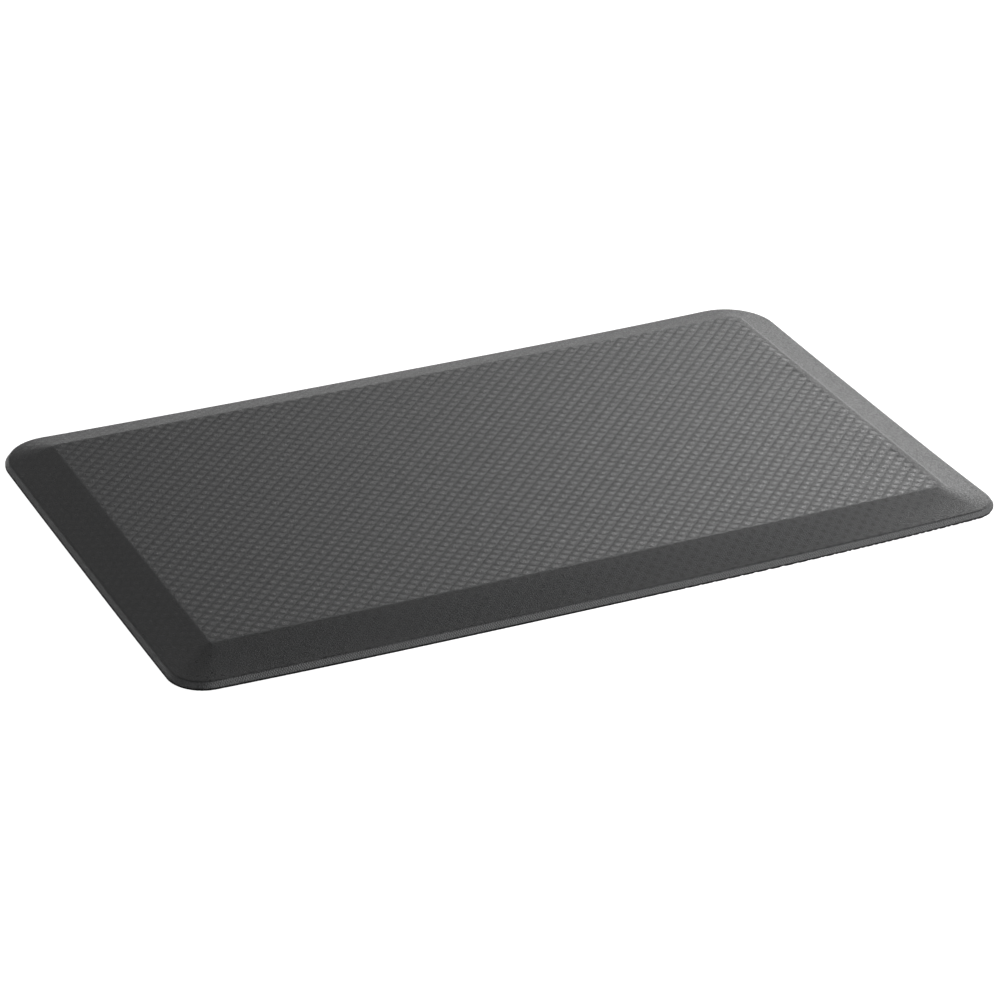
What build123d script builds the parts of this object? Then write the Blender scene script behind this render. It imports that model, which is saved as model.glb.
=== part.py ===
"""Bevelled anti-fatigue mat: an embossed vinyl cover over a foam core, welded to a non-slip base sheet.

X runs along the mat's length and Y along its width. The origin is the middle of the underside, where the mat
rests on the floor, and +Z points up through the standing field.
"""

import os

from build123d import *

# Overall size, mm
mat_length = 762.0
mat_width = 457.2
mat_thickness = 19.0
corner_radius = 36.0

# Layers
cover_thickness = 1.2
base_thickness = 1.3

# Section of the edge, from the outside in. Runs are plan distances from the outer edge.
rim_run = 3.2
rim_rise = 5.1
weld_run = 5.0
bevel_run = 42.5
field_corner_radius = 3.0

# Heights that follow from them
shoulder_height = base_thickness + rim_rise
bevel_slope = (mat_thickness - shoulder_height) / (bevel_run - rim_run)
core_edge_height = shoulder_height + (weld_run - rim_run) * bevel_slope - cover_thickness
core_top_height = mat_thickness - cover_thickness


def outline(inset, radius):
    """Rounded rectangle parallel to the mat's outer edge, drawn into the open sketch."""
    return RectangleRounded(mat_length - 2 * inset, mat_width - 2 * inset, radius)


# Non-slip base sheet: flat, cut flush with the rim of the cover.
with BuildPart() as base_sheet:
    with BuildSketch():
        outline(0, corner_radius)
    extrude(amount=base_thickness)

# Foam core: a slab with a low upright edge just inside the weld, and a bevel up to the standing field.
with BuildPart() as foam_core:
    with BuildSketch(Plane.XY.offset(base_thickness)) as core_footprint:
        outline(weld_run, corner_radius - weld_run)
    extrude(amount=core_edge_height - base_thickness)
    with BuildSketch(Plane.XY.offset(core_edge_height)) as core_edge:
        outline(weld_run, corner_radius - weld_run)
    with BuildSketch(Plane.XY.offset(core_top_height)) as core_field:
        outline(bevel_run, field_corner_radius)
    loft(sections=[core_edge.sketch, core_field.sketch], ruled=True)

# Cover: the steep rim that stands on the base sheet, then the bevel, hollowed to the shape of the core.
with BuildPart() as top_cover:
    with BuildSketch(Plane.XY.offset(base_thickness)) as rim_foot:
        outline(0, corner_radius)
    with BuildSketch(Plane.XY.offset(shoulder_height)) as shoulder:
        outline(rim_run, corner_radius - rim_run)
    loft(sections=[rim_foot.sketch, shoulder.sketch], ruled=True)
    with BuildSketch(Plane.XY.offset(shoulder_height)) as bevel_foot:
        outline(rim_run, corner_radius - rim_run)
    with BuildSketch(Plane.XY.offset(mat_thickness)) as field:
        outline(bevel_run, field_corner_radius)
    loft(sections=[bevel_foot.sketch, field.sketch], ruled=True)
    add(foam_core.part, mode=Mode.SUBTRACT)

base_sheet.part.label = "base_sheet"
foam_core.part.label = "foam_core"
top_cover.part.label = "top_cover"

os.makedirs("parts", exist_ok=True)
export_step(base_sheet.part, "parts/base_sheet.step")
export_step(foam_core.part, "parts/foam_core.step")
export_step(top_cover.part, "parts/top_cover.step")
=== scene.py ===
"""Visual model of a bevelled anti-fatigue mat: an embossed vinyl cover, its foam core and its non-slip base sheet.

The mat lies along X with its middle on the origin and its underside on z = 0. Lengths are in metres.
"""

import math

import bmesh
import bpy
import numpy as np
from mathutils import Matrix, Vector


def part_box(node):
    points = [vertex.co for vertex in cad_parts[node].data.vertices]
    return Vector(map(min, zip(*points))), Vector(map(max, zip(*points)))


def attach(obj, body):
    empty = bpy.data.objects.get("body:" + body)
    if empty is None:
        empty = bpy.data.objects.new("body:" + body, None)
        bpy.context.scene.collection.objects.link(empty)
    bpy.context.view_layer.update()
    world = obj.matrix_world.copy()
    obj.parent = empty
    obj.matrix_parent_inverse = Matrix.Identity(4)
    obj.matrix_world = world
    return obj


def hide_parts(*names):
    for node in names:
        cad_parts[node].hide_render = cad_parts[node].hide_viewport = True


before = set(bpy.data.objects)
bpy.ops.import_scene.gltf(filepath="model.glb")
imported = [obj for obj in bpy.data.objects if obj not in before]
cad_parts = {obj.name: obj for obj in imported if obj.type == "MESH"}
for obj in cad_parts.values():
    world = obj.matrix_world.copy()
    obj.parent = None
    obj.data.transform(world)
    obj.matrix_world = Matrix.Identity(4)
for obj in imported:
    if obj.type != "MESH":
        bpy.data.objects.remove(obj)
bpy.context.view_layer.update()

MM = 0.001

# Sizes read from the CAD frame
base_lo, base_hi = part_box("base_sheet")
core_lo, core_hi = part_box("foam_core")
cover_lo, cover_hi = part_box("top_cover")
HALF_LENGTH = cover_hi.x
HALF_WIDTH = cover_hi.y
TOP = cover_hi.z
FOOT = base_hi.z
COVER_THICKNESS = cover_hi.z - core_hi.z
WELD_RUN = cover_hi.x - core_hi.x
FIELD_HALF_LENGTH = max(v.co.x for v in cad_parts["top_cover"].data.vertices if v.co.z > TOP - 0.01 * MM)
BEVEL_RUN = HALF_LENGTH - FIELD_HALF_LENGTH
FIELD_HALF_WIDTH = HALF_WIDTH - BEVEL_RUN

# Edge section: the steep rim, the bevel above it and how softly the two creases turn
RIM_RUN = 3.2 * MM
RIM_RISE = 5.1 * MM
SHOULDER = FOOT + RIM_RISE
BEVEL_SLOPE = (TOP - SHOULDER) / (BEVEL_RUN - RIM_RUN)
CREASE_SOFTNESS = 1.2 * MM
SHOULDER_SOFTNESS = 0.7 * MM
FIELD_CORNER_RADIUS = 3.0 * MM

# The front bevel as made is a little wider than the others
FRONT_EXTRA = 0.9 * MM

# Radii of the trimmed corners, in the order front left, front right, back left, back right
CORNER_RADII = (30.0 * MM, 29.0 * MM, 46.0 * MM, 51.0 * MM)

# How far the free rim stands off the floor at the same corners, and at the middle of the left and right ends
CORNER_LIFTS = (3.2 * MM, 6.2 * MM, 2.6 * MM, 4.8 * MM)
END_LIFTS = (1.2 * MM, 2.9 * MM)

# Diamond emboss: half diagonals, origin, and the small turn and shear of the pattern on the sheet
PILLOW_HALF_X = 6.531 * MM
PILLOW_HALF_Y = 5.9615 * MM
PATTERN_X = -62.34 * MM
PATTERN_Y = -40.40 * MM
PATTERN_TURN = math.radians(0.956)
PATTERN_SHEAR = -0.0195

# Relief of a pillow: its height, the sag of its top towards its sides, and the depth of the shallower grooves as a
# share of the others. A groove's floor ends and its wall ends this far from its middle, in cells.
PILLOW_HEIGHT = 0.2 * MM
PILLOW_SAG = 0.2
SHALLOW_GROOVE = 0.75
GROOVE_HALF = 0.04
GROOVE_TOP = 0.13
PILLOW_LINES = (GROOVE_HALF, GROOVE_TOP, 0.5, 1 - GROOVE_TOP, 1 - GROOVE_HALF)

# Grip pads under the base sheet, in the same pattern. They are shallowest on the left half, reach their full depth
# at a share of the right half, and vary in depth by a share either way.
GRIP_DEPTH = 0.85 * MM
GRIP_LINES = (0.0, 0.14, 0.86)
GRIP_FULL_AT = 0.4
GRIP_SHALLOWEST = 0.1
GRIP_UNEVENNESS = 0.25

# Angles above which an edge of the mesh stays sharp, in degrees
COVER_SHARP = 50
CORE_SHARP = 30
BASE_SHARP = 50

# Lines of the fine weave along a pillow's side
WEAVE_LINES = 6

# Where the emboss stops outside the creases at the left, right, front and back, and the run over which it fades
EMBOSS_REACH = (0.1 * MM, 8.8 * MM, 0.1 * MM, 2.6 * MM)
EMBOSS_FADE = (0.9 * MM, 1.2 * MM, 0.9 * MM, 2.0 * MM)

# How far the fine grid that carries the emboss runs past the creases, in the same order
SHEET_REACH = (1.7 * MM, 9.0 * MM, 1.7 * MM, 4.5 * MM)

# Thin shiny line just outside the emboss at the right end
PLATE_LINE_X = FIELD_HALF_LENGTH + EMBOSS_REACH[1] + 0.5 * MM

# Seam pressed along the upper edge of the rim
SEAM_INSET = 3.45 * MM
SEAM_HALF = 0.4 * MM
SEAM_DEPTH = 0.22 * MM

# Rings round the outline, by their inset: those of the cover's outer face in mm, and those over the core in metres
BEVEL_RINGS = (29.0, 25.0, 21.0, 17.0, 12.5, 9.0, 6.5, 4.9, 4.1, 3.7, 3.4, 3.1, 2.7, 2.2, 1.2, 0.6, 0.25)
CORE_INSETS = (WELD_RUN, 11.0 * MM, 19.0 * MM, 29.0 * MM, BEVEL_RUN)

# Gap that keeps the core clear of the cover and the base sheet
CORE_GAP = 0.1 * MM

# Columns of faces along the sides and round each corner
SIDE_COLUMNS_X = 110
SIDE_COLUMNS_Y = 66
CORNER_COLUMNS = 12

# Search for the level line through a point
SEARCH_MARGIN = 4 * MM
SEARCH_STEPS = 26

# Base colours
VINYL_COLOUR = (0.0175, 0.0178, 0.0183)
RUBBER_COLOUR = (0.004, 0.004, 0.0043)
FOAM_COLOUR = (0.16, 0.16, 0.165)
FLOOR_COLOUR = (0.3, 0.3, 0.3)

# Camera
CAMERA_ELEVATION = math.radians(28.0619)
CAMERA_AZIMUTH = math.radians(-26.3109)
CAMERA_ROLL = math.radians(1.4599)
CAMERA_DISTANCE = 3256.4461 * MM
CAMERA_TARGET = (-6.62 * MM, -27.555 * MM, 0)
SENSOR_WIDTH = 36
CAMERA_LENS = 3.7623022 * SENSOR_WIDTH

# Stage. Each light has a name, an azimuth and an elevation in degrees and a power in watts.
FLOOR_HALF = 6.0
SURROUND_GLOW = 0.9
SOFTBOX_DISTANCE = 2.0
SOFTBOX_SIZE = 1.2
SOFTBOXES = [
    ("softbox_right", 30, 25, 11.4),
    ("softbox_right_high", 30, 35, 3.0),
    ("softbox_back_right", 45, 25, 5.9),
    ("softbox_back", 60, 25, 2.7),
    ("softbox_back_high", 60, 35, 1.9),
    ("softbox_behind", 90, 25, 0.7),
    ("softbox_behind_high", 90, 40, 1.4),
    ("softbox_back_left", 130, 40, 2.9),
    ("softbox_left", 210, 33, 2.5),
    ("softbox_front", 300, 33, 18.0),
    ("softbox_front_right", 330, 25, 18.5),
]


def pattern_matrix():
    """Matrix from the pattern's own X, Y to the mat's x, y."""
    c, s = math.cos(PATTERN_TURN), math.sin(PATTERN_TURN)
    return np.array([[c, -s + PATTERN_SHEAR], [s, c]])


def to_cells(x, y):
    """Cell coordinates p, q of points: a pillow's middle has whole p and q, and its grooves lie halfway."""
    inverse = np.linalg.inv(pattern_matrix())
    dx, dy = x - PATTERN_X, y - PATTERN_Y
    m = (inverse[0, 0] * dx + inverse[0, 1] * dy) / PILLOW_HALF_X
    n = (inverse[1, 0] * dx + inverse[1, 1] * dy) / PILLOW_HALF_Y
    return (m + n) / 2, (m - n) / 2


def from_cells(p, q):
    """Points x, y of cell coordinates p, q."""
    matrix = pattern_matrix()
    big_x, big_y = (p + q) * PILLOW_HALF_X, (p - q) * PILLOW_HALF_Y
    x = matrix[0, 0] * big_x + matrix[0, 1] * big_y + PATTERN_X
    y = matrix[1, 0] * big_x + matrix[1, 1] * big_y + PATTERN_Y
    return x, y


def by_corner(values, x, y):
    """Picks the value of the corner in whose quarter of the mat each point lies."""
    front = np.where(x < 0, values[0], values[1])
    back = np.where(x < 0, values[2], values[3])
    return np.where(y < 0, front, back)


def corner_radius_at(inset, outer_radius):
    """Corner radius of the level line at an inset: it shrinks up the bevel to the field's small corner."""
    climb = np.clip((inset - RIM_RUN) / (BEVEL_RUN - RIM_RUN), 0, 1)
    shoulder_radius = outer_radius - RIM_RUN
    upper = shoulder_radius + climb * (FIELD_CORNER_RADIUS - shoulder_radius)
    return np.where(inset < RIM_RUN, outer_radius - inset, upper)


def inset_at(x, y):
    """Plan distance in from the outer edge of the level line through each point."""
    outer_radius = by_corner(CORNER_RADII, x, y)
    low = np.full(x.shape, -SEARCH_MARGIN)
    high = np.minimum(HALF_LENGTH - abs(x), HALF_WIDTH - abs(y))
    edge = high.copy()
    for _ in range(SEARCH_STEPS):
        middle = (low + high) / 2
        radius = corner_radius_at(middle, outer_radius)
        over_x = abs(x) - (HALF_LENGTH - middle - radius)
        over_y = abs(y) - (HALF_WIDTH - middle - radius)
        beyond = np.hypot(np.maximum(over_x, 0), np.maximum(over_y, 0)) - radius
        outside = (beyond > 0) & (over_x > 0) & (over_y > 0)
        high = np.where(outside, middle, high)
        low = np.where(outside, low, middle)
    in_field = edge > BEVEL_RUN + FIELD_CORNER_RADIUS
    return np.where(in_field, edge, np.minimum(high, edge))


def soft_corner(distance, softness):
    """0 before a crease and the distance past it after, with a parabola of the given half width between."""
    blend = (distance + softness) ** 2 / (4 * softness)
    return np.where(distance < -softness, 0, np.where(distance > softness, distance, blend))


def cover_height(inset):
    """Height of the cover's outer face, before the emboss."""
    below_crease = soft_corner(BEVEL_RUN - inset, CREASE_SOFTNESS)
    below_shoulder = soft_corner(RIM_RUN - inset, SHOULDER_SOFTNESS)
    return TOP - BEVEL_SLOPE * below_crease - (RIM_RISE / RIM_RUN - BEVEL_SLOPE) * below_shoulder


def emboss_share(x, y):
    """1 inside the standing field, fading to 0 at the emboss limit of the nearest side."""
    inside = (x + FIELD_HALF_LENGTH, FIELD_HALF_LENGTH - x, y + FIELD_HALF_WIDTH, FIELD_HALF_WIDTH - y)
    share = np.ones(x.shape)
    for distance, reach, fade in zip(inside, EMBOSS_REACH, EMBOSS_FADE):
        share = np.minimum(share, np.clip((distance + reach) / fade, 0, 1))
    return share


def pillow_stands(p, q):
    """1 for pillows that stand up, 0 past the last whole column of pillows at the right end."""
    x, _ = from_cells(p, q)
    return np.where(x < FIELD_HALF_LENGTH, 1.0, 0.0)


def groove_depth(to_edge):
    """1 in the flat bottom of a groove, 0 past its wall, by the distance from its middle in cells."""
    return np.clip((GROOVE_TOP - to_edge) / (GROOVE_TOP - GROOVE_HALF), 0, 1)


def pillow_relief(x, y):
    """Height of the diamond pillows: narrow pressed grooves, one way shallower, and slightly domed tops."""
    p, q = to_cells(x, y)
    middle_p, middle_q = np.round(p), np.round(q)
    off_p, off_q = p - middle_p, q - middle_q
    height = 1.0
    for off, share in ((off_p, SHALLOW_GROOVE), (off_q, 1.0)):
        height = height * (1 - share * groove_depth(0.5 - abs(off))) * (1 - PILLOW_SAG * (2 * off) ** 2)
    depth = pillow_stands(middle_p, middle_q) * (1 - height)
    for step_p, step_q in ((1, 0), (-1, 0), (0, 1), (0, -1)):
        wall = groove_depth(0.5 - (off_p * step_p + off_q * step_q)) * (SHALLOW_GROOVE if step_p else 1.0)
        depth = np.maximum(depth, wall * pillow_stands(middle_p + step_p, middle_q + step_q))
    return -PILLOW_HEIGHT * depth * emboss_share(x, y)


def rim_lift(x, y, inset):
    """How far the thin edge curls up off the floor, strongest at the corners and nothing under the field."""
    along = np.clip(abs(x) / HALF_LENGTH, 0, 1) ** 3
    across = np.clip(abs(y) / HALF_WIDTH, 0, 1) ** 3
    corner = by_corner(CORNER_LIFTS, x, y)
    end = np.where(x < 0, *END_LIFTS)
    fade = np.clip(1 - inset / BEVEL_RUN, 0, 1) ** 1.5
    return along * (corner * across + end * (1 - across)) * fade


def outline(inset):
    """Level line at an inset as x, y points, counter-clockwise, with the same columns at every inset."""
    half_x, half_y = HALF_LENGTH - inset, HALF_WIDTH - inset
    radii = [float(corner_radius_at(inset, radius)) for radius in CORNER_RADII]
    front_left, front_right, back_left, back_right = radii
    corners = [
        (half_x - front_right, front_right - half_y, front_right, -90),
        (half_x - back_right, half_y - back_right, back_right, 0),
        (back_left - half_x, half_y - back_left, back_left, 90),
        (front_left - half_x, front_left - half_y, front_left, 180),
    ]
    columns = [SIDE_COLUMNS_Y, SIDE_COLUMNS_X, SIDE_COLUMNS_Y, SIDE_COLUMNS_X]
    points = []
    for i, (cx, cy, radius, start) in enumerate(corners):
        for k in range(CORNER_COLUMNS + 1):
            angle = math.radians(start + 90 * k / CORNER_COLUMNS)
            points.append((cx + radius * math.cos(angle), cy + radius * math.sin(angle)))
        nx, ny, next_radius, next_start = corners[(i + 1) % 4]
        angle = math.radians(next_start)
        here = points[-1]
        there = (nx + next_radius * math.cos(angle), ny + next_radius * math.sin(angle))
        for k in range(1, columns[i]):
            share = k / columns[i]
            points.append((here[0] + share * (there[0] - here[0]), here[1] + share * (there[1] - here[1])))
    return np.array(points)


def pattern_grid(lines, polygon):
    """Flat grid of quads along the pattern's grooves, covering a polygon round the middle."""
    left, front = polygon.min(axis=0)
    right, back = polygon.max(axis=0)
    corner_p, corner_q = to_cells(np.array([left, right, right, left]), np.array([front, front, back, back]))
    p_lines = grid_lines(corner_p, lines)
    q_lines = grid_lines(corner_q, lines)
    p, q = np.meshgrid(p_lines, q_lines, indexing="ij")
    x, y = from_cells(p, q)
    inside = (x > left) & (x < right) & (y > front) & (y < back)
    touched = inside[:-1, :-1] | inside[1:, :-1] | inside[1:, 1:] | inside[:-1, 1:]
    index = np.arange(p.size).reshape(p.shape)
    quads = np.stack([index[:-1, :-1], index[:-1, 1:], index[1:, 1:], index[1:, :-1]], -1)[touched]
    used, compact = np.unique(quads, return_inverse=True)
    flat = np.stack([x.ravel()[used], y.ravel()[used], np.zeros(used.size)], -1)
    return flat, compact.reshape(quads.shape)


def grid_lines(corners, lines):
    """Positions of the grid lines that cover a range of cells."""
    first, last = math.floor(corners.min()) - 1, math.ceil(corners.max()) + 1
    return (np.arange(first, last)[:, None] - 0.5 + np.array(lines)[None, :]).ravel()


def clipped_grid(lines, polygon, splits=()):
    """The pattern grid trimmed to a convex polygon and split along lines: its points, faces and open edge."""
    flat, quads = pattern_grid(lines, polygon)
    following = np.roll(polygon, -1, axis=0)
    outward = np.stack([following[:, 1] - polygon[:, 1], polygon[:, 0] - following[:, 0]], -1)
    outward /= np.hypot(outward[:, 0], outward[:, 1])[:, None]
    turns = abs(np.cross(outward, np.roll(outward, 1, axis=0))) > 1e-6
    sides = [(tuple(point), tuple(normal)) for point, normal in zip(polygon[turns], outward[turns])]
    beyond = np.array([(flat[:, 0] - a[0]) * n[0] + (flat[:, 1] - a[1]) * n[1] for a, n in sides])
    outside = beyond[:, quads] > 0
    whole = ~outside.any(axis=(0, 2))
    lost = outside.all(axis=2).any(axis=0)
    points = [tuple(v[:2]) for v in flat.tolist()]
    faces = quads[whole].tolist()
    numbers = {}
    for quad, crossed in zip(quads[~whole & ~lost], outside.any(axis=2)[:, ~whole & ~lost].T):
        cut = [points[i] for i in quad]
        for side in np.flatnonzero(crossed):
            cut = cut_polygon(cut, *sides[side])
        if len(cut) < 3:
            continue
        faces.append(number_corners(points, numbers, quad.tolist(), cut))
    for start, direction in splits:
        faces = split_faces(points, faces, numbers, start, direction)
    used = np.unique(np.concatenate([np.array(f) for f in faces]))
    compact = np.full(len(points), -1)
    compact[used] = np.arange(used.size)
    kept = np.array(points)[used]
    faces = [compact[f].tolist() for f in faces]
    return np.column_stack([kept, np.zeros(len(kept))]), faces, boundary_loop(faces)


def number_corners(points, numbers, face, cut):
    """Vertex numbers of a cut face. Old corners keep theirs, and a crossing shared by two faces is made once."""
    known = {points[i]: i for i in face}
    numbered = []
    for point in cut:
        key = (round(point[0] * 1e8), round(point[1] * 1e8))
        if point not in known and key not in numbers:
            numbers[key] = len(points)
            points.append(point)
        numbered.append(known[point] if point in known else numbers[key])
    return numbered


def split_faces(points, faces, numbers, start, outward):
    """Splits every face that a line crosses into the parts on its two sides."""
    flat = np.array(points)
    side = (flat[:, 0] - start[0]) * outward[0] + (flat[:, 1] - start[1]) * outward[1]
    opposite = (-outward[0], -outward[1])
    made = []
    for face in faces:
        reach = side[face]
        if reach.min() >= 0 or reach.max() <= 0:
            made.append(face)
            continue
        corners = [points[i] for i in face]
        for direction in (outward, opposite):
            cut = cut_polygon(corners, start, direction)
            if len(cut) > 2:
                made.append(number_corners(points, numbers, face, cut))
    return made


def cut_polygon(corners, start, outward):
    """The part of a convex polygon on the inner side of a line. Both faces of an edge get the same crossing."""
    kept = []
    for here, there in zip(corners, corners[1:] + corners[:1]):
        here_out = (here[0] - start[0]) * outward[0] + (here[1] - start[1]) * outward[1]
        there_out = (there[0] - start[0]) * outward[0] + (there[1] - start[1]) * outward[1]
        if here_out <= 0:
            kept.append(here)
        if (here_out <= 0) != (there_out <= 0):
            first, last, first_out, last_out = here, there, here_out, there_out
            if last < first:
                first, last, first_out, last_out = there, here, there_out, here_out
            share = first_out / (first_out - last_out)
            kept.append((first[0] + share * (last[0] - first[0]), first[1] + share * (last[1] - first[1])))
    return kept


def boundary_loop(faces):
    """Vertex numbers round the open edge of counter-clockwise faces, in their own direction."""
    steps = {(a, b) for f in faces for a, b in zip(f, f[1:] + f[:1])}
    follow = {a: b for a, b in steps if (b, a) not in steps}
    start = min(follow)
    loop = [start]
    while follow[loop[-1]] != start:
        loop.append(follow[loop[-1]])
    if len(loop) != len(follow):
        raise RuntimeError("the grid has more than one open edge")
    return loop


class Shell:
    """Points and faces of one closed mesh, built ring by ring."""

    def __init__(self, points, faces):
        self.points = [tuple(p) for p in points]
        self.faces = [list(f) for f in faces]

    def ring(self, xy, z):
        """Adds a ring of points and returns their numbers."""
        first = len(self.points)
        self.points.extend((x, y, h) for (x, y), h in zip(xy, np.broadcast_to(z, len(xy))))
        return list(range(first, len(self.points)))

    def bridge(self, inner, outer):
        """Quads between two rings with the same columns."""
        count = len(inner)
        for i in range(count):
            j = (i + 1) % count
            self.faces.append([inner[i], outer[i], outer[j], inner[j]])

    def stitch(self, inner, outer):
        """Triangles between two rings with different columns, always closing the shorter way."""
        inner_points = np.array([self.points[i][:2] for i in inner])
        outer_points = np.array([self.points[i][:2] for i in outer])
        start = int(np.argmin(np.hypot(*(outer_points - inner_points[0]).T)))
        outer = outer[start:] + outer[:start]
        outer_points = np.roll(outer_points, -start, axis=0)
        i = j = 0
        while i < len(inner) or j < len(outer):
            a, b = i % len(inner), j % len(outer)
            next_a, next_b = (i + 1) % len(inner), (j + 1) % len(outer)
            step_inner = np.hypot(*(inner_points[next_a] - outer_points[b]))
            step_outer = np.hypot(*(inner_points[a] - outer_points[next_b]))
            if j >= len(outer) or (i < len(inner) and step_inner < step_outer):
                self.faces.append([inner[a], outer[b], inner[next_a]])
                i += 1
            else:
                self.faces.append([inner[a], outer[b], outer[next_b]])
                j += 1

    def build(self, name, sharp_angle):
        """Makes the Blender object, lifted at the rim, wider at the front and with outward normals."""
        points = np.array(self.points)
        inset = inset_at(points[:, 0], points[:, 1])
        points[:, 2] += rim_lift(points[:, 0], points[:, 1], inset)
        points[:, 1] -= FRONT_EXTRA * np.clip((BEVEL_RUN - HALF_WIDTH - points[:, 1]) / BEVEL_RUN, 0, 1)
        mesh = bpy.data.meshes.new(name)
        mesh.from_pydata(points.tolist(), [], self.faces)
        bm = bmesh.new()
        bm.from_mesh(mesh)
        bmesh.ops.recalc_face_normals(bm, faces=bm.faces)
        bm.to_mesh(mesh)
        bm.free()
        mesh.polygons.foreach_set("use_smooth", [True] * len(mesh.polygons))
        mesh.set_sharp_from_angle(angle=math.radians(sharp_angle))
        mesh.update()
        piece = bpy.data.objects.new(name, mesh)
        bpy.context.scene.collection.objects.link(piece)
        return piece


def core_top(inset):
    """Height of the core's bevel and of the cover's inner face over it."""
    core_edge = SHOULDER + (WELD_RUN - RIM_RUN) * BEVEL_SLOPE - COVER_THICKNESS
    climb = (inset - WELD_RUN) / (BEVEL_RUN - WELD_RUN)
    return core_edge + climb * (TOP - COVER_THICKNESS - core_edge)


def embossed_sheet():
    """Corners of the rectangle that carries the emboss, a little past the creases, counter-clockwise."""
    left, right = -FIELD_HALF_LENGTH - SHEET_REACH[0], FIELD_HALF_LENGTH + SHEET_REACH[1]
    front, back = -FIELD_HALF_WIDTH - SHEET_REACH[2], FIELD_HALF_WIDTH + SHEET_REACH[3]
    return np.array([(right, front), (right, back), (left, back), (left, front)])


def make_cover():
    """Vinyl cover: embossed field, plain bevels, steep rim, and the inner face that fits over the core."""
    creases = [
        ((0.0, -FIELD_HALF_WIDTH), (0.0, -1.0)),
        ((0.0, FIELD_HALF_WIDTH), (0.0, 1.0)),
        ((-FIELD_HALF_LENGTH, 0.0), (-1.0, 0.0)),
        ((FIELD_HALF_LENGTH, 0.0), (1.0, 0.0)),
    ]
    points, faces, loop = clipped_grid(PILLOW_LINES, embossed_sheet(), creases)
    x, y = points[:, 0], points[:, 1]
    points[:, 2] = cover_height(inset_at(x, y)) + pillow_relief(x, y)
    shell = Shell(points, faces)
    ring = None
    for inset in BEVEL_RINGS:
        seam = SEAM_DEPTH * max(0.0, 1 - abs(inset * MM - SEAM_INSET) / SEAM_HALF)
        outer = shell.ring(outline(inset * MM), float(cover_height(inset * MM)) - seam)
        if ring is None:
            shell.stitch(loop, outer)
        else:
            shell.bridge(ring, outer)
        ring = outer
    foot = [(0.0, FOOT + 0.30 * MM), (0.15 * MM, FOOT + 0.08 * MM), (0.6 * MM, FOOT), (WELD_RUN, FOOT)]
    for inset, height in foot + [(inset, core_top(inset)) for inset in CORE_INSETS]:
        outer = shell.ring(outline(inset), height)
        shell.bridge(ring, outer)
        ring = outer
    shell.faces.append(ring)
    return shell.build("cover_skin", COVER_SHARP)


def make_core():
    """Foam core: fills the space between the cover's inner face and the base sheet."""
    shell = Shell([], [])
    section = [(inset, FOOT + CORE_GAP) for inset in reversed(CORE_INSETS)]
    section += [(inset, core_top(inset) - CORE_GAP) for inset in CORE_INSETS]
    first = ring = shell.ring(outline(section[0][0]), section[0][1])
    for inset, height in section[1:]:
        outer = shell.ring(outline(inset + (CORE_GAP if inset == WELD_RUN else 0)), height)
        shell.bridge(ring, outer)
        ring = outer
    shell.faces.extend([first, ring])
    return shell.build("core_block", CORE_SHARP)


def make_base():
    """Base sheet: flat on top, with small diamond grip pads underneath that are uneven and deeper to the right."""
    points, faces, loop = clipped_grid(GRIP_LINES, outline(0.0))
    p, q = to_cells(points[:, 0], points[:, 1])
    groove = np.minimum(0.5 - abs(p - np.round(p)), 0.5 - abs(q - np.round(q)))
    deeper = np.clip(points[:, 0] / (GRIP_FULL_AT * HALF_LENGTH), GRIP_SHALLOWEST, 1)
    wave = np.sin(1.7 * np.round(p) + 2.3 * np.round(q))
    uneven = 1 - GRIP_UNEVENNESS + GRIP_UNEVENNESS * wave
    points[:, 2] = GRIP_DEPTH * deeper * uneven * (1 - np.clip(groove / GRIP_LINES[1], 0, 1))
    shell = Shell(points, faces)
    ring = None
    edge = [(0.0, FOOT - 0.4 * MM), (0.0, FOOT - 0.25 * MM), (0.12 * MM, FOOT - 0.08 * MM), (0.4 * MM, FOOT)]
    for inset, height in edge + [(inset, FOOT) for inset in CORE_INSETS]:
        outer = shell.ring(outline(inset), height)
        if ring is None:
            shell.stitch(loop, outer)
        else:
            shell.bridge(ring, outer)
        ring = outer
    shell.faces.append(ring)
    return shell.build("base_layer", BASE_SHARP)


# --- materials


def add_node(tree, kind, **values):
    """Adds a shader node and sets its properties."""
    node = tree.nodes.new(kind)
    for key, value in values.items():
        setattr(node, key, value)
    return node


def math_node(tree, operation, first, second=None):
    """Adds a maths node whose inputs are links or constants, and returns its output."""
    node = add_node(tree, "ShaderNodeMath", operation=operation)
    for socket, value in zip(node.inputs, (first, second)):
        if isinstance(value, (int, float)):
            socket.default_value = value
        elif value is not None:
            tree.links.new(value, socket)
    return node.outputs[0]


def times(tree, first, second):
    """Product of two sockets or constants."""
    return math_node(tree, "MULTIPLY", first, second)


def plus(tree, first, second):
    """Sum of two sockets or constants."""
    return math_node(tree, "ADD", first, second)


def minus(tree, first, second):
    """Difference of two sockets or constants."""
    return math_node(tree, "SUBTRACT", first, second)


def components(tree, vector):
    """The X, Y and Z sockets of a vector socket."""
    parts = add_node(tree, "ShaderNodeSeparateXYZ")
    tree.links.new(vector, parts.inputs[0])
    return parts.outputs


def set_colour(tree, surface, colour, shade):
    """Gives the surface a base colour times a shade socket."""
    scaled = add_node(tree, "ShaderNodeVectorMath", operation="SCALE")
    scaled.inputs[0].default_value = colour
    tree.links.new(shade, scaled.inputs["Scale"])
    tree.links.new(scaled.outputs["Vector"], surface.inputs["Base Color"])


def set_bump(tree, surface, height, strength, distance):
    """Gives the surface a fine relief from a height socket."""
    bump = add_node(tree, "ShaderNodeBump")
    bump.inputs["Strength"].default_value = strength
    bump.inputs["Distance"].default_value = distance
    tree.links.new(height, bump.inputs["Height"])
    tree.links.new(bump.outputs["Normal"], surface.inputs["Normal"])


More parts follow.
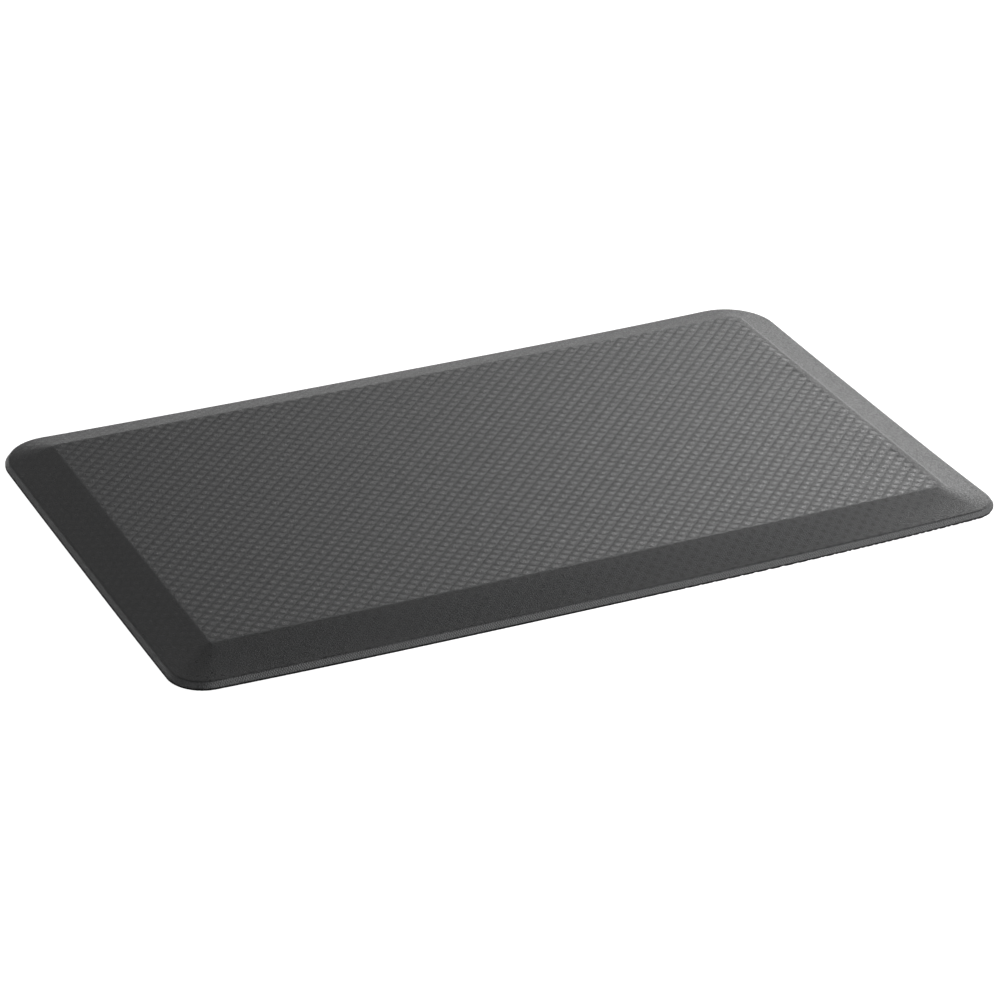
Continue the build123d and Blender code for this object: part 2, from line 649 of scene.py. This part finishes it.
def new_material(name):
    """Makes a node material. Gives it, its tree, its Principled surface and the position on the mat."""
    material = bpy.data.materials.new(name)
    material.use_nodes = True
    tree = material.node_tree
    surface = tree.nodes["Principled BSDF"]
    place = add_node(tree, "ShaderNodeTexCoord").outputs["Object"]
    return material, tree, surface, place


def laid_over(tree, place):
    """Position on the sheet as if unrolled flat: it is longer than its plan length where it lies on the bevels."""
    parts = components(tree, place)
    joined = add_node(tree, "ShaderNodeCombineXYZ")
    slope_gain = math.sqrt(1 + BEVEL_SLOPE**2) - 1
    for axis, half in (("X", FIELD_HALF_LENGTH), ("Y", FIELD_HALF_WIDTH)):
        past_high = math_node(tree, "MAXIMUM", minus(tree, parts[axis], half), 0.0)
        past_low = math_node(tree, "MINIMUM", plus(tree, parts[axis], half), 0.0)
        extra = times(tree, plus(tree, past_high, past_low), slope_gain)
        tree.links.new(plus(tree, parts[axis], extra), joined.inputs[axis])
    return joined.outputs[0]


def cell_sockets(tree, place):
    """Shader sockets for the pattern's cell coordinates p and q at each point."""
    corner_p, corner_q = to_cells(np.array([0.0, 1.0, 0.0]), np.array([0.0, 0.0, 1.0]))
    sockets = []
    for values in (corner_p, corner_q):
        dot = add_node(tree, "ShaderNodeVectorMath", operation="DOT_PRODUCT")
        tree.links.new(place, dot.inputs[0])
        dot.inputs[1].default_value = (values[1] - values[0], values[2] - values[0], 0)
        sockets.append(plus(tree, dot.outputs["Value"], float(values[0])))
    return sockets


def noise(tree, place, scale, detail):
    """Noise texture value at a scale in cycles per metre."""
    node = add_node(tree, "ShaderNodeTexNoise")
    node.inputs["Scale"].default_value = scale
    node.inputs["Detail"].default_value = detail
    tree.links.new(place, node.inputs["Vector"])
    return node.outputs["Fac"]


def remap(tree, value, low, high, new_low, new_high):
    """Maps a value from one range to another, clamped."""
    node = add_node(tree, "ShaderNodeMapRange")
    tree.links.new(value, node.inputs["Value"])
    for name, number in zip(("From Min", "From Max", "To Min", "To Max"), (low, high, new_low, new_high)):
        node.inputs[name].default_value = number
    return node.outputs["Result"]


def weave_height(tree, p, q):
    """Fine cross-hatched weave, with the same number of lines along every pillow's side."""
    turns = 2 * math.pi * WEAVE_LINES
    wave_p = math_node(tree, "SINE", times(tree, p, turns))
    wave_q = math_node(tree, "SINE", times(tree, q, turns))
    return times(tree, plus(tree, wave_p, wave_q), 0.5)


def distance_from_pillow_middle(tree, p, q):
    """Distance in metres from the nearest pillow's middle."""
    off_p = minus(tree, p, math_node(tree, "ROUND", p))
    off_q = minus(tree, q, math_node(tree, "ROUND", q))
    across = times(tree, plus(tree, off_p, off_q), PILLOW_HALF_X)
    along = times(tree, minus(tree, off_p, off_q), PILLOW_HALF_Y)
    squares = plus(tree, times(tree, across, across), times(tree, along, along))
    return math_node(tree, "SQRT", squares)


def groove_share(tree, p, q):
    """1 along the bottoms of the deeper grooves, less along the shallower ones, 0 past their walls."""
    shares = []
    for cell, share in ((p, 0.35), (q, 1.0)):
        off = minus(tree, cell, math_node(tree, "ROUND", cell))
        to_edge = minus(tree, 0.5, math_node(tree, "ABSOLUTE", off))
        shares.append(remap(tree, to_edge, GROOVE_HALF, GROOVE_TOP, share, 0.0))
    return math_node(tree, "MAXIMUM", *shares)


def rim_share(tree):
    """1 on the steep rim, 0 on the bevels and the field, by how steep the face is in the mat's own frame."""
    turn = add_node(tree, "ShaderNodeVectorTransform", vector_type="NORMAL")
    turn.convert_from, turn.convert_to = "WORLD", "OBJECT"
    tree.links.new(add_node(tree, "ShaderNodeNewGeometry").outputs["True Normal"], turn.inputs[0])
    return remap(tree, components(tree, turn.outputs[0])["Z"], 0.7, 0.8, 1.0, 0.0)


def sheet_share(tree, place):
    """1 where the sheet is embossed, fading to 0 about where the relief does."""
    parts = components(tree, place)
    left = remap(tree, parts["X"], -FIELD_HALF_LENGTH, -FIELD_HALF_LENGTH + 1 * MM, 0.0, 1.0)
    right = remap(tree, parts["X"], FIELD_HALF_LENGTH + 6 * MM, FIELD_HALF_LENGTH + 9 * MM, 1.0, 0.0)
    front = remap(tree, parts["Y"], -FIELD_HALF_WIDTH, -FIELD_HALF_WIDTH + 1 * MM, 0.0, 1.0)
    back = remap(tree, parts["Y"], FIELD_HALF_WIDTH, FIELD_HALF_WIDTH + 2 * MM, 1.0, 0.0)
    return times(tree, times(tree, left, right), times(tree, front, back))


def bare_share(tree, p, q):
    """1 in the cells at the right end that are pressed flat because no whole pillow fits there."""
    (x_origin, x_p, x_q), _ = from_cells(np.array([0.0, 1.0, 0.0]), np.array([0.0, 0.0, 1.0]))
    part_p = times(tree, math_node(tree, "ROUND", p), float(x_p - x_origin))
    part_q = times(tree, math_node(tree, "ROUND", q), float(x_q - x_origin))
    middle_x = plus(tree, plus(tree, part_p, part_q), float(x_origin))
    return math_node(tree, "GREATER_THAN", middle_x, FIELD_HALF_LENGTH)


def plate_edge(tree, place):
    """1 along the thin shiny line that the embossing plate leaves at the right end, 0 away from it."""
    parts = components(tree, place)
    off = math_node(tree, "ABSOLUTE", minus(tree, parts["X"], PLATE_LINE_X))
    line = remap(tree, off, 0.4 * MM, 1.2 * MM, 1.0, 0.0)
    across = math_node(tree, "ABSOLUTE", parts["Y"])
    return times(tree, line, remap(tree, across, FIELD_HALF_WIDTH - 2 * MM, FIELD_HALF_WIDTH, 1.0, 0.0))


def spot_strengths(tree, place, sheet):
    """How glossy the pillow middles are, and how dark painted shade makes them: it shows on the bevels, more so to
    the right.
    """
    parts = components(tree, place)
    left = remap(tree, parts["X"], -FIELD_HALF_LENGTH - 3 * MM, -FIELD_HALF_LENGTH + 3 * MM, 0.14, 0.02)
    back = remap(tree, parts["Y"], FIELD_HALF_WIDTH, FIELD_HALF_WIDTH + 3 * MM, 0.02, 0.08)
    # Painted shade on the pillow middles, standing in for the sheen they lose; weak at the left end, strong at the
    # right, where the light is brighter.
    painted_spot_shade = remap(tree, parts["X"], -FIELD_HALF_LENGTH, FIELD_HALF_LENGTH, 0.05, 0.9)
    pressed = remap(tree, parts["X"], -FIELD_HALF_LENGTH, FIELD_HALF_LENGTH, 0.20, 0.12)
    gloss = plus(tree, math_node(tree, "MAXIMUM", left, back), times(tree, sheet, pressed))
    dark = times(tree, painted_spot_shade, remap(tree, sheet, 0.0, 1.0, 1.0, 0.15))
    return gloss, dark


def vinyl_marks(tree, place, p, q):
    """Shares of the pressed spots and of the dull grooves, and how glossy the spots are and how dark painted shade
    makes them.
    """
    sheet = sheet_share(tree, place)
    spot = remap(tree, distance_from_pillow_middle(tree, p, q), 0.6 * MM, 3.3 * MM, 1.0, 0.0)
    bare = bare_share(tree, p, q)
    spot = times(tree, spot, minus(tree, 1.0, times(tree, bare, sheet)))
    # The pressed flat cells at the right end count as groove: duller, and darkened by the same painted shade.
    groove = math_node(tree, "MAXIMUM", groove_share(tree, p, q), times(tree, bare, 1.3))
    return spot, times(tree, groove, sheet), *spot_strengths(tree, place, sheet)


def vinyl_material():
    """Charcoal vinyl with a fine weave. Pillow middles are pressed smoother and the grooves are duller; painted
    shade darkens both.
    """
    material, tree, surface, place = new_material("cover_vinyl")
    p, q = cell_sockets(tree, laid_over(tree, place))
    spot, groove, gloss, dark = vinyl_marks(tree, place, p, q)
    mottle = noise(tree, place, 60.0, 4.0)
    speckle = noise(tree, place, 750.0, 1.0)
    rim = rim_share(tree)
    spot = times(tree, spot, minus(tree, 1.0, rim))
    shade = remap(tree, mottle, 0.3, 0.7, 0.92, 1.08)
    # Painted shade darkens the grooves, and the pressed flat cells at the right end with them.
    shade = times(tree, shade, remap(tree, groove, 0.0, 1.0, 1.0, 0.8))
    # Painted shade darkens the pillow middles.
    shade = times(tree, shade, minus(tree, 1.0, times(tree, spot, dark)))
    shade = times(tree, shade, remap(tree, speckle, 0.3, 0.7, 0.6, 1.4))
    # Painted highlight: the steep rim's colour is lightened to stand in for the light it catches.
    shade = times(tree, shade, remap(tree, rim, 0.0, 1.0, 1.0, 2.1))
    set_colour(tree, surface, VINYL_COLOUR, shade)
    rough = minus(tree, remap(tree, mottle, 0.3, 0.7, 0.47, 0.51), times(tree, spot, gloss))
    rough = plus(tree, rough, times(tree, groove, 0.07))
    rough = minus(tree, rough, times(tree, plate_edge(tree, place), 0.1))
    rough = plus(tree, rough, remap(tree, speckle, 0.3, 0.7, -0.14, 0.14))
    tree.links.new(rough, surface.inputs["Roughness"])
    weave = times(tree, weave_height(tree, p, q), 0.8)
    weave = times(tree, weave, remap(tree, spot, 0.0, 1.0, 1.0, 0.4))
    weave = times(tree, weave, remap(tree, rim, 0.0, 1.0, 1.0, 3.0))
    height = plus(tree, weave, times(tree, noise(tree, place, 2600.0, 3.0), 0.8))
    height = plus(tree, height, times(tree, speckle, 4.0))
    set_bump(tree, surface, height, 0.5, 0.1 * MM)
    return material


def rubber_material():
    """Matt black non-slip sheet with a fine grain."""
    material, tree, surface, place = new_material("base_rubber")
    grain = noise(tree, place, 1500.0, 4.0)
    set_colour(tree, surface, RUBBER_COLOUR, remap(tree, noise(tree, place, 90.0, 3.0), 0.3, 0.7, 0.85, 1.15))
    tree.links.new(remap(tree, grain, 0.3, 0.7, 0.75, 0.9), surface.inputs["Roughness"])
    surface.inputs["Specular IOR Level"].default_value = 0.15
    set_bump(tree, surface, grain, 0.4, 0.1 * MM)
    return material


def foam_material():
    """Dark grey closed-cell foam."""
    material, tree, surface, place = new_material("core_foam")
    cells = add_node(tree, "ShaderNodeTexVoronoi")
    cells.inputs["Scale"].default_value = 1400.0
    tree.links.new(place, cells.inputs["Vector"])
    set_colour(tree, surface, FOAM_COLOUR, remap(tree, cells.outputs["Distance"], 0.0, 0.7, 1.15, 0.75))
    rough = remap(tree, noise(tree, place, 120.0, 3.0), 0.3, 0.7, 0.8, 0.95)
    tree.links.new(rough, surface.inputs["Roughness"])
    set_bump(tree, surface, cells.outputs["Distance"], 0.5, 0.2 * MM)
    return material


def floor_material():
    """Plain white light table with very faint unevenness."""
    material, tree, surface, place = new_material("studio_floor")
    set_colour(tree, surface, FLOOR_COLOUR, remap(tree, noise(tree, place, 3.0, 2.0), 0.3, 0.7, 0.99, 1.01))
    surface.inputs["Roughness"].default_value = 0.9
    surface.inputs["Emission Color"].default_value = (1, 1, 1, 1)
    surface.inputs["Emission Strength"].default_value = 1.0
    return material


def place_piece(piece, material, node):
    """Gives a piece its material, hides the CAD node it stands for and attaches the piece to the root body."""
    piece.data.materials.append(material)
    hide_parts(node)
    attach(piece, "root")


def make_floor():
    """Large plain floor."""
    half = FLOOR_HALF
    corners = [(-half, -half, 0), (half, -half, 0), (half, half, 0), (-half, half, 0)]
    mesh = bpy.data.meshes.new("studio_floor")
    mesh.from_pydata(corners, [], [[0, 1, 2, 3]])
    floor = bpy.data.objects.new("studio_floor", mesh)
    bpy.context.scene.collection.objects.link(floor)
    floor.data.materials.append(floor_material())


def direction_of(azimuth, elevation):
    """Unit vector at an azimuth from +X towards +Y and an elevation, in radians."""
    level = math.cos(elevation)
    return Vector((math.cos(azimuth) * level, math.sin(azimuth) * level, math.sin(elevation)))


def make_camera():
    """Camera above the front-left corner, looking down along the mat."""
    elevation, azimuth, roll = CAMERA_ELEVATION, CAMERA_AZIMUTH, CAMERA_ROLL
    back = Vector(
        (math.sin(azimuth) * math.cos(elevation), -math.cos(azimuth) * math.cos(elevation), math.sin(elevation))
    )
    level = Vector((0, 0, 1)).cross(back).normalized()
    upward = back.cross(level)
    right = math.cos(roll) * level + math.sin(roll) * upward
    up = math.cos(roll) * upward - math.sin(roll) * level
    data = bpy.data.cameras.new("camera")
    data.lens = CAMERA_LENS
    data.sensor_width = SENSOR_WIDTH
    data.dof.use_dof = False
    data.clip_start, data.clip_end = 0.1, 50
    camera = bpy.data.objects.new("camera", data)
    axes = Matrix((right, up, back)).transposed().to_4x4()
    camera.matrix_world = Matrix.Translation(back * CAMERA_DISTANCE + Vector(CAMERA_TARGET)) @ axes
    bpy.context.scene.collection.objects.link(camera)
    bpy.context.scene.camera = camera


def area_light(name, azimuth, elevation, power):
    """Soft square light aimed at the mat, at an azimuth from +X towards +Y and an elevation in degrees."""
    direction = direction_of(math.radians(azimuth), math.radians(elevation))
    data = bpy.data.lights.new(name, "AREA")
    data.shape = "RECTANGLE"
    data.size, data.size_y = SOFTBOX_SIZE, SOFTBOX_SIZE
    data.energy = power
    light = bpy.data.objects.new(name, data)
    light.location = direction * SOFTBOX_DISTANCE
    light.rotation_mode = "QUATERNION"
    light.rotation_quaternion = direction.to_track_quat("Z", "Y")
    bpy.context.scene.collection.objects.link(light)


def make_world(strength):
    """Pale surround close to the floor that fades to dark higher up."""
    world = bpy.data.worlds.new("studio")
    world.use_nodes = True
    tree = world.node_tree
    height = components(tree, add_node(tree, "ShaderNodeTexCoord").outputs["Generated"])["Z"]
    glow = remap(tree, height, 0.10, 0.16, strength, 0.0)
    background = tree.nodes["Background"]
    tree.links.new(glow, background.inputs["Strength"])
    background.inputs["Color"].default_value = (1, 1, 1, 1)
    bpy.context.scene.world = world


cover = make_cover()
core = make_core()
base = make_base()
place_piece(cover, vinyl_material(), "top_cover")
place_piece(core, foam_material(), "foam_core")
place_piece(base, rubber_material(), "base_sheet")
make_floor()
make_camera()
make_world(SURROUND_GLOW)
for name, azimuth, elevation, power in SOFTBOXES:
    area_light(name, azimuth, elevation, power)
bpy.context.scene.view_settings.view_transform = "Standard"
